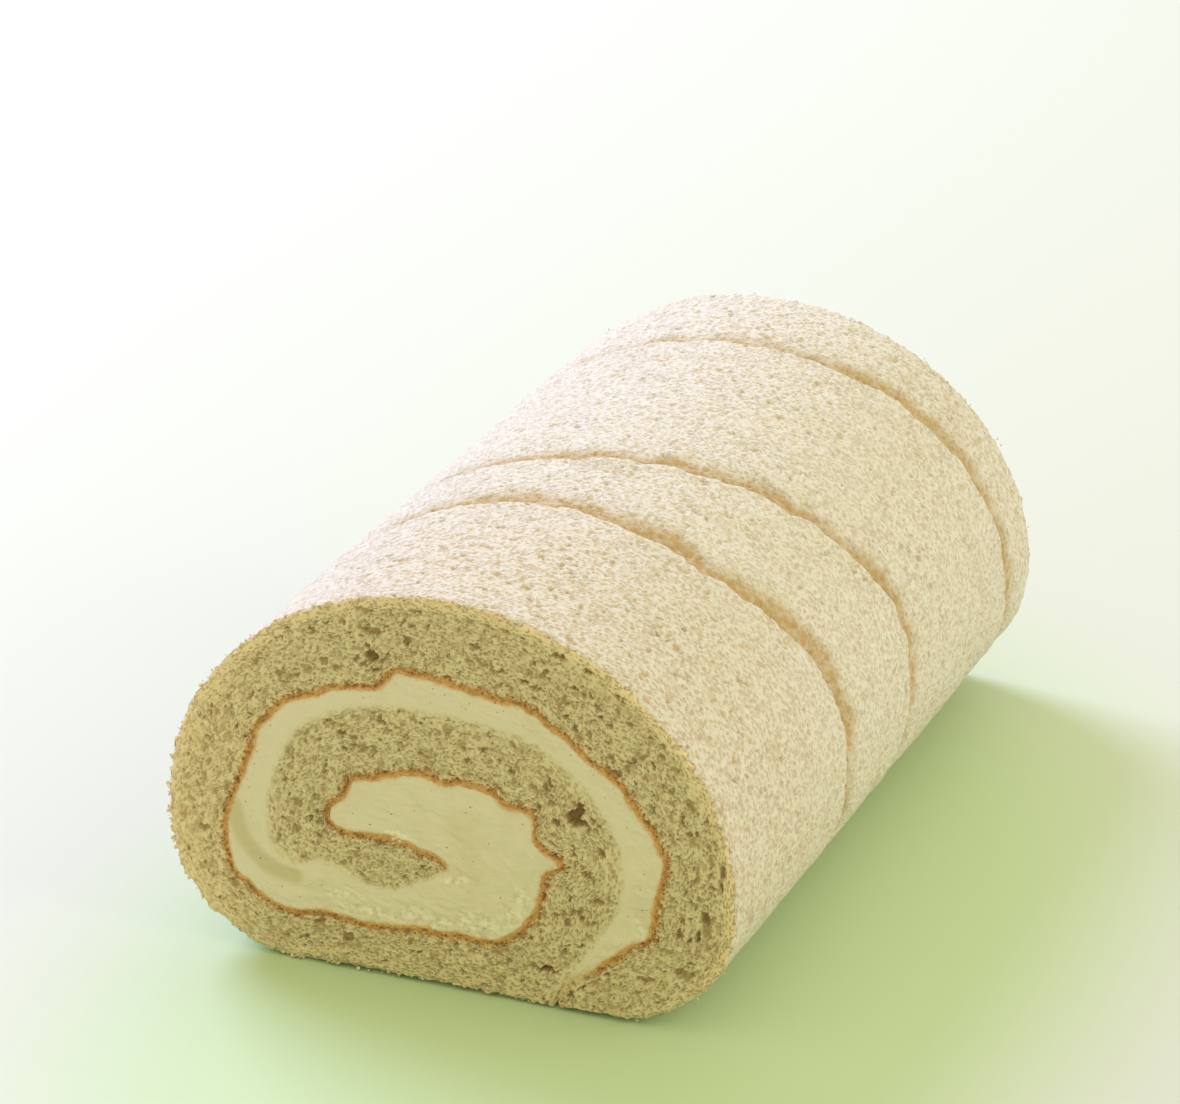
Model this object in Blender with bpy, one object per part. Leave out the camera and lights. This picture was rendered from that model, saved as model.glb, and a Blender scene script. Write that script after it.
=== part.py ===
"""Swiss roll cake: one sponge sheet rolled round cream and trimmed square at both ends.

Metres, +Z up. The roll lies on its seam along Y, centred on the origin, with the cut face that has
the seam to the right of its middle at -Y. The sponge is one solid, a spiral band, and the cream is
another, the spiral that the band encloses. Cross-sections are drawn in millimetres as (x, z).
"""

import math

import bmesh
import bpy
import numpy as np
from mathutils import Vector, kdtree

MM = 0.001
LENGTH = 150.0
WIDTH = 100.0
HEIGHT = 68.6
SHOULDER = 24.0  # height of the roll's widest level
BASE_SAG = 5.0  # how far the round belly would reach below the table if it weren't pressed flat
BASE_EXPONENT = 2.4  # squareness of the belly below the shoulder
BASE_EASE = 1.4  # height over which the belly runs out into the flat base
GAP = 0.3  # clearance between sponge and cream
SLIT = 0.4  # width of the seam where the sheet's end meets the turn inside it
SEAM_X = 19.0  # where the seam reaches the base
NOTCH_HALF_WIDTH = 0.9  # the small groove along the seam's foot
NOTCH_HEIGHT = 1.5
CREAM_MIN_WIDTH = 1.2  # the cream's outer end stops where the gap between the turns is this narrow
FACE_STEP = 1.6  # spacing of the points along the sponge's two faces
OUTLINE_STEP = 2.2  # spacing of the points along the roll's outside

# The face that was baked brown and spread with cream, from the tip of the tongue at the roll's
# heart, clockwise through almost two turns, to where the seam begins.
BROWNED_FACE = [
    (0.3, 21.6), (-2.0, 24.0), (-6.0, 25.3), (-12.0, 25.7), (-18.0, 25.8), (-20.4, 27.2),
    (-18.8, 29.8), (-16.3, 33.0), (-13.8, 34.7), (-9.5, 36.1), (-4.0, 36.6), (3.0, 36.8),
    (8.0, 36.2), (9.8, 34.6), (13.6, 33.9), (15.0, 32.0), (15.4, 29.4), (17.3, 27.0),
    (20.0, 25.3), (17.2, 24.9), (16.3, 22.6), (15.9, 19.2), (14.3, 15.9), (12.2, 13.2),
    (9.6, 11.2), (4.0, 10.5), (-5.0, 10.3), (-16.0, 9.6), (-27.0, 9.4), (-32.6, 10.6),
    (-36.8, 13.7), (-38.9, 19.5), (-38.1, 26.0), (-35.1, 33.0), (-32.3, 40.4), (-28.0, 45.3),
    (-19.6, 49.4), (-11.6, 51.3), (-8.8, 53.8), (-2.0, 54.0), (7.0, 53.0), (16.0, 51.1),
    (22.0, 46.6), (29.3, 41.4), (33.0, 36.6), (35.5, 32.4), (37.1, 29.5), (36.5, 24.0),
    (35.2, 19.8), (35.0, 16.6), (30.5, 13.2), (27.0, 10.9),
]  # fmt: skip

# The pale face of the innermost turn, which the cream touches on its outer side, from the tongue's
# tip to where the seam begins.
PALE_FACE = [
    (0.5, 20.9), (-1.6, 19.0), (-4.5, 16.9), (-8.5, 15.4), (-13.0, 15.4), (-17.5, 16.9),
    (-21.5, 17.6), (-26.0, 16.0), (-30.0, 16.6), (-32.8, 20.0), (-33.3, 25.5), (-32.4, 30.8),
    (-30.6, 36.0), (-27.4, 41.2), (-22.5, 45.8), (-16.0, 48.5), (-8.0, 49.6), (1.0, 49.7),
    (9.0, 49.0), (16.0, 47.0), (21.5, 43.4), (26.2, 38.8), (29.5, 33.8), (31.1, 28.4),
    (31.2, 22.8), (29.9, 17.6), (27.9, 13.2), (26.4, 11.2),
]  # fmt: skip

# The seam, from the cream's end down to the groove in the base.
SEAM = [(24.1, 7.8), (21.1, 5.2), (19.6, 2.9)]

# Creases that run round the roll: distance from the front cut at evenly spaced places round it,
# from CREASE_REACH left of the crown to CREASE_REACH right of it, and the depth.
CREASE_REACH = 90.0
CREASES = [
    ([43.0, 41.0, 41.5, 44.0, 44.3, 53.0, 50.0], 1.0),
    ([62.0, 60.0, 62.0, 66.5, 76.0, 86.5, 80.0], 0.7),
    ([124.0, 122.0, 123.0, 125.5, 131.0, 136.0, 139.0], 0.9),
]
CREASE_FADE = 22.0  # length over which a crease dies out towards the base
# A crease in section: offset along the roll from its deepest line, and share of its depth there.
# It drops steeply on the side towards the front cut, and rises gently behind.
CREASE_SECTION = [(-2.2, 0.0), (0.0, 1.0), (3.0, 0.6), (9.0, 0.0)]

SPONGE_COLOUR = (0.60, 0.50, 0.25, 1.0)
CREAM_COLOUR = (0.80, 0.74, 0.44, 1.0)


def clear_scene():
    for old in list(bpy.data.objects):
        bpy.data.objects.remove(old)


def evenly_spaced(points, step):
    """The same line with its points about one step apart, ends kept."""
    points = np.array(points, float)
    run = np.concatenate([[0.0], np.cumsum(np.hypot(*np.diff(points, axis=0).T))])
    places = np.linspace(0.0, run[-1], max(2, round(run[-1] / step)) + 1)
    return np.column_stack([np.interp(places, run, points[:, k]) for k in (0, 1)])


def smooth_line(knots, step):
    """A centripetal Catmull-Rom line through the knots, with evenly spaced points."""
    knots = [Vector(k) for k in knots]
    knots = [2 * knots[0] - knots[1], *knots, 2 * knots[-1] - knots[-2]]
    line = []
    for a, b, c, d in zip(knots, knots[1:], knots[2:], knots[3:]):
        ta = math.sqrt((b - a).length)
        tb = ta + math.sqrt((c - b).length)
        tc = tb + math.sqrt((d - c).length)
        for t in np.linspace(ta, tb, 24, endpoint=False):
            ab = a.lerp(b, t / ta)
            bc = b.lerp(c, (t - ta) / (tb - ta))
            cd = c.lerp(d, (t - tb) / (tc - tb))
            line.append(ab.lerp(bc, t / tb).lerp(bc.lerp(cd, (t - ta) / (tc - ta)), (t - ta) / (tb - ta)))
    line.append(knots[-2])
    return evenly_spaced(line, step)


def pressed(z):
    """Height after the roll settles on the table: nothing below 0, with a soft run-out."""
    if z > BASE_EASE:
        return z
    return max(0.0, z + BASE_EASE) ** 2 / (4 * BASE_EASE)


def roll_outside():
    """The D-shaped outside, clockwise from the seam's right side round to its left side."""
    belly = SHOULDER + BASE_SAG
    points = []
    for degrees in np.arange(-89.75, 270.0, 0.5):
        c, s = math.cos(math.radians(degrees)), math.sin(math.radians(degrees))
        if s >= 0:
            points.append((WIDTH / 2 * c, SHOULDER + (HEIGHT - SHOULDER) * s))
        else:
            x = WIDTH / 2 * math.copysign(abs(c) ** (2 / BASE_EXPONENT), c)
            points.append((x, pressed(SHOULDER - belly * abs(s) ** (2 / BASE_EXPONENT))))
    rounded = evenly_spaced([p for p in points if p[1] > 0.0], OUTLINE_STEP)
    rounded[0, 1] = rounded[-1, 1] = 0.0
    ends = [SEAM_X + NOTCH_HALF_WIDTH, 0.0], [SEAM_X - NOTCH_HALF_WIDTH, 0.0]
    return np.vstack([ends[0], rounded, ends[1]])


def offset(line, distance, closed=False):
    """The line moved to its left by a distance."""
    ahead, behind = np.roll(line, -1, axis=0), np.roll(line, 1, axis=0)
    if not closed:
        ahead[-1], behind[0] = line[-1], line[0]
    along = ahead - behind
    along /= np.linalg.norm(along, axis=1)[:, None]
    return line + distance * np.column_stack([-along[:, 1], along[:, 0]])


def sheet_outline(outside):
    """The sponge in section: browned face, seam, outside, seam again, pale face."""
    browned = smooth_line(BROWNED_FACE, FACE_STEP)
    pale = smooth_line(PALE_FACE, FACE_STEP)
    seam_right = smooth_line([BROWNED_FACE[-1], *SEAM, (SEAM_X + SLIT / 2, NOTCH_HEIGHT)], FACE_STEP)
    seam_left = offset(seam_right, -SLIT)
    return np.vstack([browned, seam_right[1:], outside, seam_left[:0:-1], pale[::-1]])


def cream_outline():
    """The cream in section: everything between the two faces, less the clearance."""
    browned = smooth_line(BROWNED_FACE, FACE_STEP)
    pale = smooth_line(PALE_FACE, FACE_STEP)
    wide = [p for p in browned if np.hypot(*(pale[-8:] - p).T).min() > CREAM_MIN_WIDTH]
    narrow_end = np.array(wide[-1])
    kept = [q for q in pale if np.hypot(*(q - np.array(browned[-12:])).T).min() > CREAM_MIN_WIDTH]
    ring = np.vstack([wide, narrow_end[None, :] * 0.5 + kept[-1][None, :] * 0.5, kept[::-1]])
    return offset(ring, -GAP, closed=True)


def prism(name, outline, material):
    """A flat outline in millimetres, drawn in X and Z, made a bar along Y."""
    curve = bpy.data.curves.new(name, "CURVE")
    curve.dimensions = "2D"
    curve.fill_mode = "BOTH"
    curve.extrude = LENGTH * MM / 2
    spline = curve.splines.new("POLY")
    spline.points.add(len(outline) - 1)
    for point, (x, z) in zip(spline.points, outline):
        point.co = (x * MM, z * MM, 0.0, 1.0)
    spline.use_cyclic_u = True
    drawn = bpy.data.objects.new(name + "_outline", curve)
    drawn.rotation_euler = (math.pi / 2, 0.0, 0.0)
    bpy.context.scene.collection.objects.link(drawn)
    bpy.context.view_layer.update()
    graph = bpy.context.evaluated_depsgraph_get()
    mesh = bpy.data.meshes.new_from_object(drawn.evaluated_get(graph))
    mesh.transform(drawn.matrix_world)
    bpy.data.objects.remove(drawn)
    welded = bmesh.new()
    welded.from_mesh(mesh)
    bmesh.ops.remove_doubles(welded, verts=welded.verts, dist=0.01 * MM)
    bmesh.ops.recalc_face_normals(welded, faces=welded.faces)
    welded.to_mesh(mesh)
    welded.free()
    mesh.name = name
    mesh.materials.append(material)
    return bpy.data.objects.new(name, mesh)


def crease_the_outside(solid, outside):
    """Divides the outside along the roll, so that rings of points follow the creases, and sinks them."""
    rings = []
    for path, depth in CREASES:
        places = np.linspace(-CREASE_REACH, CREASE_REACH, len(path))
        smooth = smooth_line(list(zip(places, path)), FACE_STEP)
        rings += [(smooth, along, depth * share) for along, share in CREASE_SECTION]
    run = np.concatenate([[0.0], np.cumsum(np.hypot(*np.diff(outside, axis=0).T))])
    crown = run[np.argmax(outside[:, 1])]
    inward = offset(outside, 1.0) - outside
    tree = kdtree.KDTree(len(outside))
    for i, (x, z) in enumerate(outside):
        tree.insert((x * MM, 0.0, z * MM), i)
    tree.balance()

    def column(vert):
        """The place on the outside of the line along the roll that a point is on, or None."""
        _, i, distance = tree.find((vert.co.x, 0.0, vert.co.z))
        return i if distance < 0.01 * MM and 0 < i < len(outside) - 1 else None

    mesh = bmesh.new()
    mesh.from_mesh(solid.data)
    lines = [e for e in mesh.edges if column(e.verts[0]) is not None]
    lines = [e for e in lines if (e.verts[0].co - e.verts[1].co).xz.length < 0.01 * MM]
    bmesh.ops.subdivide_edges(mesh, edges=lines, cuts=len(rings), use_grid_fill=True)
    rows = {}
    for vert in mesh.verts:
        rows.setdefault(column(vert), []).append(vert)
    rows.pop(None)
    for i, verts in rows.items():
        around = crown - run[i]
        fade = max(0.0, min(1.0, (CREASE_REACH + CREASE_FADE / 2 - abs(around)) / CREASE_FADE))
        for vert, (path, along, depth) in zip(sorted(verts, key=lambda v: v.co.y)[1:-1], rings):
            vert.co.y = (np.interp(around, path[:, 0], path[:, 1]) + along - LENGTH / 2) * MM
            sink = inward[i] * depth * fade * MM
            vert.co.x += sink[0]
            vert.co.z += sink[1]
    mesh.to_mesh(solid.data)
    mesh.free()


def food_material(name, colour, roughness):
    material = bpy.data.materials.new(name)
    material.use_nodes = True
    shader = material.node_tree.nodes["Principled BSDF"]
    shader.inputs["Base Color"].default_value = colour
    shader.inputs["Roughness"].default_value = roughness
    shader.inputs["Metallic"].default_value = 0.0
    return material


def main():
    clear_scene()
    roll = bpy.data.collections.new("swiss_roll")
    bpy.context.scene.collection.children.link(roll)
    outside = roll_outside()
    sponge = prism("sponge", sheet_outline(outside), food_material("sponge", SPONGE_COLOUR, 0.95))
    crease_the_outside(sponge, outside)
    cream = prism("cream", cream_outline(), food_material("cream", CREAM_COLOUR, 0.45))
    for solid in (sponge, cream):
        roll.objects.link(solid)


main()
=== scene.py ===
import math

import bmesh
import bpy
import numpy as np
from mathutils import Matrix, Vector
from mathutils.geometry import interpolate_bezier


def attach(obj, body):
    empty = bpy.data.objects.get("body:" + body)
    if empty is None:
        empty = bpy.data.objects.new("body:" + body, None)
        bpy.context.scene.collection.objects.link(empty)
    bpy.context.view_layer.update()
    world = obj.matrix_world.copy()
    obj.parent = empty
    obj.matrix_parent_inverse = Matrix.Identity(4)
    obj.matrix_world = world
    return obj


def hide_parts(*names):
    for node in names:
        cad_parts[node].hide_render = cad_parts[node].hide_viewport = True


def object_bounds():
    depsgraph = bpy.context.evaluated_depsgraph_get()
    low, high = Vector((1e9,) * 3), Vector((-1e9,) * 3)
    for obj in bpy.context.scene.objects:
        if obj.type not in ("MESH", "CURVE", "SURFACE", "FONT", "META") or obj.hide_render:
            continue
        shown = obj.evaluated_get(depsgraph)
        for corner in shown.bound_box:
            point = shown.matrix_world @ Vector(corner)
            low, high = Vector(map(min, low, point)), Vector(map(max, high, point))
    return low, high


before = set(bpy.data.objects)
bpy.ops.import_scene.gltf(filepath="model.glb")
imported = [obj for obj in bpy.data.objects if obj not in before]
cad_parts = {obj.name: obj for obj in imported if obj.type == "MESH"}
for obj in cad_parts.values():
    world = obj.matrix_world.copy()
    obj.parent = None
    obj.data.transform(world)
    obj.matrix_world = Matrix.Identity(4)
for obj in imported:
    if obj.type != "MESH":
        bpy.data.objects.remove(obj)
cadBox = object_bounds()
print("frame loaded, box", cadBox)

mm = 0.001
rollLow, rollHigh = (np.array(corner) / mm for corner in cadBox)
rollWidth, rollLength, rollHeight = rollHigh - rollLow

# The roll's cross-section in millimetres, as (x, z) from the middle of its base, seen at the front cut.
section = {
    "shoulder": 24.0,  # height of the widest level
    "sag": 5.0,  # how far the belly would reach below the table if it weren't pressed flat
    "squareness": 2.4,
    "baseEase": 1.4,  # height over which the belly runs out into the flat base
    "seamFoot": 19.0,
    "notchHalfWidth": 0.9,
    "skin": 2.8,  # thickness of the outer skin pieces
    "wiggle": 0.28,  # how far the browned line swings from its smooth course
    "level": 0.2,  # how far the cut faces lie behind the roll's ends
    # the face that was baked brown and spread with cream, from the tongue's tip to the seam
    "browned": [
        (0.3, 21.5), (0, 22.6), (-3, 24.2), (-7, 25.4), (-12, 25.3), (-18, 25.5), (-20.4, 27),
        (-19.5, 29), (-17, 32), (-15.5, 34), (-13, 34.6), (-9, 36.3), (-4, 36.8), (0, 36.3), (5, 36.7),
        (8.3, 36), (10, 34.3), (14, 33.8), (15, 33), (15, 30), (16.5, 27.6), (19.4, 25.4), (17.5, 24.6),
        (16.4, 22.5), (16.2, 20), (14.8, 16.8), (13, 14.4), (11.5, 12.2), (8, 10.6), (3, 10.6),
        (-5, 10.2), (-10, 9.9), (-15, 9.3), (-20, 9.8), (-28, 9.5), (-32, 10.3), (-35, 12.7), (-37.7, 15),
        (-38.7, 19), (-38.3, 24), (-36.4, 29), (-34.8, 33.5), (-33.2, 37), (-32.3, 40.5), (-30, 43.6),
        (-26.5, 46.3), (-22, 47.8), (-20, 49.3), (-15, 50.3), (-12, 50.9), (-9.8, 52.3), (-8, 54.2),
        (-3, 53.9), (6, 53.1), (13, 51.9), (16.5, 50.6), (20, 48), (24, 45.3), (28, 42.4), (29.9, 40.8),
        (31.5, 38.6), (34.6, 35), (36.5, 31.2), (37.1, 30), (36.8, 26.5), (35.5, 22.3), (35, 18.5),
        (34.5, 16.2), (32, 14.2), (28, 11.5), (26.2, 9.3), (23, 6.9), (21, 5), (19.9, 3), (19.3, 1.5),
    ],
    # the pale face of the first turn, from the tongue's tip to the seam's foot
    "pale": [
        (0.4, 21.1), (-1, 19.8), (-3, 18.4), (-7, 16.2), (-10, 15), (-15, 15.4), (-19, 17), (-23, 17.6),
        (-28, 16.8), (-31.3, 19), (-32.6, 23), (-32.6, 28), (-31.3, 33), (-29.3, 38), (-26, 43),
        (-20, 46.8), (-15, 48.4), (-8, 49.5), (0, 49.6), (8, 49), (15, 47.4), (20, 44.7), (25, 40.2),
        (28.5, 35.5), (30.6, 31.5), (31.4, 28), (31.4, 23.5), (30, 18.3), (27.5, 14.4), (25.4, 10.8),
        (23.4, 8), (21.3, 5.7), (19.9, 3.6), (19.1, 1.6),
    ],
}


def runAlong(line):  # how far along a line each of its points lies
    return np.concatenate([[0], np.cumsum(np.hypot(*np.diff(line, axis=0).T))])


def readLine(places, known, line):  # a line's points at other places, between those that are known
    return np.column_stack([np.interp(places, known, line[:, k]) for k in (0, 1)])


def evenSteps(line, step):
    line = np.array(line, float)
    run = runAlong(line)
    places = np.linspace(0, run[-1], max(2, round(run[-1] / step)) + 1)
    return readLine(places, run, line)


def smoothLine(knots, step):  # a soft curve through the knots, as even steps
    knots = [Vector(knot) for knot in knots]
    slopes = [(b - a).normalized() for a, b in zip(knots[:1] + knots, knots[1:] + knots[-1:])]
    line = []
    for a, b, slopeA, slopeB in zip(knots, knots[1:], slopes, slopes[1:]):
        reach = (b - a).length / 3
        line += interpolate_bezier(a, a + slopeA * reach, b - slopeB * reach, b, 10)[:-1]
    return evenSteps(line + knots[-1:], step)


def leftOfLine(line):  # unit vectors across a line, to the left of its course
    heading = np.gradient(line, axis=0)
    return np.column_stack([-heading[:, 1], heading[:, 0]]) / np.linalg.norm(heading, axis=1)[:, None]


def wiggle(line, size, seed):  # small irregular swings across a line, none at its ends
    run = runAlong(line)
    swing = waves(run, 0, 3.1, seed) + 0.6 * waves(run, 0, 1.6, seed + 1)
    return line + leftOfLine(line) * (size * swing * ease(0, 6, run) * ease(0, 9, run[-1] - run))[:, None]


def outsideLine(step):  # clockwise from the seam's left foot, round under the base and over the top
    belly = section["shoulder"] + section["sag"]
    points = []
    for turn in np.radians(np.arange(269.75, -90, -0.5)):
        across, up = math.cos(turn), math.sin(turn)
        if up >= 0:
            x, z = across, section["shoulder"] + (rollHeight - section["shoulder"]) * up
        else:
            x = math.copysign(abs(across) ** (2 / section["squareness"]), across)
            z = section["shoulder"] - belly * abs(up) ** (2 / section["squareness"])
            if z < section["baseEase"]:
                z = max(0, z + section["baseEase"]) ** 2 / (4 * section["baseEase"])
        points.append((x * rollWidth / 2, z))
    rounded = [point for point in points if point[1] > 0]
    left = (section["seamFoot"] - section["notchHalfWidth"], 0)
    right = (section["seamFoot"] + section["notchHalfWidth"], 0)
    return evenSteps([left, *rounded, right], step)


def matchRails(inner, outer):  # pairs a ribbon's two edges so that the lines across it stay short
    gap = np.hypot(inner[:, None, 0] - outer[None, :, 0], inner[:, None, 1] - outer[None, :, 1]) ** 2
    total = np.full((len(inner) + 1, len(outer) + 1), np.inf)
    total[0, 0] = 0
    for i in range(len(inner)):
        for j in range(len(outer)):
            wait = 0.15 * gap[i, j]  # the cost of one edge standing still while the other goes on
            best = min(total[i, j], total[i, j + 1] + wait, total[i + 1, j] + wait)
            total[i + 1, j + 1] = best + gap[i, j]
    i, j = len(inner), len(outer)
    path = [(i - 1, j - 1)]
    while i > 1 or j > 1:
        ways = [(i - 1, j - 1), (i - 1, j), (i, j - 1)]
        _, i, j = min((total[way], *way) for way in ways if min(way) >= 1)
        path.append((i - 1, j - 1))
    pairs = np.array(path[::-1], float)
    half = 6  # each pair becomes the mean of itself and this many on either side
    kernel = np.ones(2 * half + 1) / (2 * half + 1)
    padded = np.vstack([np.repeat(pairs[:1], half, 0), pairs, np.repeat(pairs[-1:], half, 0)])
    pairs = np.column_stack([np.convolve(padded[:, k], kernel, "valid") for k in (0, 1)])
    pairs[0], pairs[-1] = (0, 0), (len(inner) - 1, len(outer) - 1)
    return [readLine(pairs[:, k], np.arange(len(line)), line) for k, line in enumerate((inner, outer))]


def columnsAcross(innerEnds, outerEnds, step):  # lines across, spaced evenly and mostly by the outer edge
    run = runAlong(outerEnds) * 0.8 + runAlong(innerEnds) * 0.2
    places = np.linspace(0, run[-1], round(run[-1] / step) + 1)
    return [readLine(places, run, ends) for ends in (innerEnds, outerEnds)]


def waves(u, v, size, seed):  # smooth random values from -1 to 1, with a grain of about size
    many = 256  # grains after which the pattern repeats
    table = np.random.default_rng(seed).uniform(-1, 1, (many, many))
    u, v = np.broadcast_arrays(u / size, v / size)
    i, j = np.floor(u).astype(int), np.floor(v).astype(int)
    fu, fv = u - i, v - j
    fu, fv = fu * fu * (3 - 2 * fu), fv * fv * (3 - 2 * fv)
    i, j, nextI, nextJ = i % many, j % many, (i + 1) % many, (j + 1) % many
    near = table[i, j] * (1 - fu) + table[nextI, j] * fu
    far = table[i, nextJ] * (1 - fu) + table[nextI, nextJ] * fu
    return near * (1 - fv) + far * fv


def ease(low, high, value):  # a soft step from 0 at low to 1 at high
    t = np.clip((value - low) / (high - low), 0, 1)
    return t * t * (3 - 2 * t)


# A closed body from rings of points, joined in a row and capped at both ends. Layers give each point values.
def ringBody(name, rings, layers):
    columns, around = rings.shape[:2]
    body = bmesh.new()
    body.loops.layers.uv.new("OFBake")
    bmesh.ops.create_grid(body, x_segments=around, y_segments=columns - 1, size=1, calc_uvs=True)
    body.verts.ensure_lookup_table()
    wrapped = np.concatenate([rings, rings[:, :1]], axis=1).reshape(-1, 3) * mm
    for vert, place in zip(body.verts, wrapped.tolist()):
        vert.co = place
    for key, values in layers.items():
        values = np.concatenate([values, values[:, :1]], axis=1)
        if values.ndim == 3:
            layer = body.verts.layers.float_vector.new(key)
            values = [Vector(value) for value in values.reshape(-1, 3).tolist()]
        else:
            layer = body.verts.layers.float.new(key)
            values = values.ravel().tolist()
        for vert, value in zip(body.verts, values):
            vert[layer] = value
    joined = [vert for n, vert in enumerate(body.verts) if n % (around + 1) in (0, around)]
    bmesh.ops.remove_doubles(body, verts=joined, dist=1e-8)
    bmesh.ops.holes_fill(body, edges=[edge for edge in body.edges if edge.is_boundary], sides=0)
    bmesh.ops.recalc_face_normals(body, faces=body.faces)
    piece = addPiece(name, body, smooth=True)
    mapRings(piece.data, (columns - 1) * around)
    return piece


def addPiece(name, body, smooth=False):
    for face in body.faces:
        face.smooth = smooth
    mesh = bpy.data.meshes.new(name)
    body.to_mesh(mesh)
    body.free()
    piece = bpy.data.objects.new(name, mesh)
    bpy.context.scene.collection.objects.link(piece)
    return piece


# The rings fill the map above a strip that holds the two end caps. Its sizes are shares of the map.
def mapRings(mesh, sides):
    strip, capRadius, capMiddle, capSpace = 0.05, 0.018, 0.022, 0.045
    places = np.empty(len(mesh.loops) * 2)
    layer = mesh.uv_layers["OFBake"].data
    layer.foreach_get("uv", places)
    places = places.reshape(-1, 2)
    places[: sides * 4, 1] = strip + (1 - strip) * places[: sides * 4, 1]
    for n, cap in enumerate(list(mesh.polygons)[sides:]):
        turn = np.linspace(0, 2 * np.pi, cap.loop_total, endpoint=False)
        loops = slice(cap.loop_start, cap.loop_start + cap.loop_total)
        across = capMiddle + capSpace * n + capRadius * np.cos(turn)
        places[loops] = np.column_stack([across, capMiddle + capRadius * np.sin(turn)])
    layer.foreach_set("uv", places.ravel())


def sharpEdges(piece, degrees):
    piece.data.set_sharp_from_angle(angle=math.radians(degrees))


# The sheet: lines across it from its browned to its pale face, from the tongue's tip to its outer end.
sheet = {
    "lineStep": 0.7,
    "step": 0.21,  # between the lines across, in the crumb
    "rows": 52,
    "parts": 3,
    "rimStep": 0.31,  # the same under the skin, where the mesh is coarser
    "rimRows": 7,
    "poreStep": 0.2,  # the spacing by which a bubble's reach in rows is worked out
    "sharpFrom": 75,  # degrees
}
browned = wiggle(smoothLine(section["browned"], sheet["lineStep"]), section["wiggle"], 3)
firstTurn = smoothLine(section["pale"], sheet["lineStep"])
outside = outsideLine(sheet["lineStep"])
rails = matchRails(browned, np.vstack([firstTurn, outside]))
footPlace = (section["seamFoot"] - section["notchHalfWidth"], 0)


def sheetColumns(step):
    inner, outer = columnsAcross(*rails, step)
    foot = int(np.argmin(np.hypot(*(outer - footPlace).T)))
    along = (runAlong(inner) + runAlong(outer)) / 2
    thickness = np.hypot(*(outer - inner).T)
    skinDepth = np.minimum(section["skin"], 0.45 * thickness) * ease(-0.8, 1.7, along - along[foot])
    skinDepth[:foot] = 0
    return {
        "inner": inner,
        "outer": outer,
        "foot": foot,
        "along": along,
        "thickness": thickness,
        "skinDepth": skinDepth,
    }


def cutGrid(lines, low, high, rows):  # places on a cut face, for shares of the way across from low to high
    share = low[:, None] + (high - low)[:, None] * np.linspace(0, 1, rows)
    place = lines["inner"][:, None] + share[..., None] * (lines["outer"] - lines["inner"])[:, None]
    along = lines["along"][:, None] + 0 * share
    return {
        "x": place[..., 0],
        "z": place[..., 1],
        "along": along,
        "share": share,
        "fromBrowned": share * lines["thickness"][:, None],
        "fromPale": (1 - share) * lines["thickness"][:, None],
        "outerTurn": ease(-9, -1, along - lines["along"][lines["foot"]]),
    }


crumbLines = sheetColumns(sheet["step"])
underSkin = 1 - crumbLines["skinDepth"] / crumbLines["thickness"]
crumbGrid = cutGrid(crumbLines, 0 * underSkin, underSkin, sheet["rows"])
rimLines = sheetColumns(sheet["rimStep"])
foot = rimLines.pop("foot")
rimLines = {key: values[foot:] for key, values in rimLines.items()}  # the outer turn only
rimLines["foot"] = 0
underSkin = 1 - rimLines["skinDepth"] / rimLines["thickness"]
rimGrid = cutGrid(rimLines, underSkin, 1 + 0 * underSkin, sheet["rimRows"])
print("sheet laid out,", crumbGrid["x"].shape, rimGrid["x"].shape, "points a face")

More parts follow.
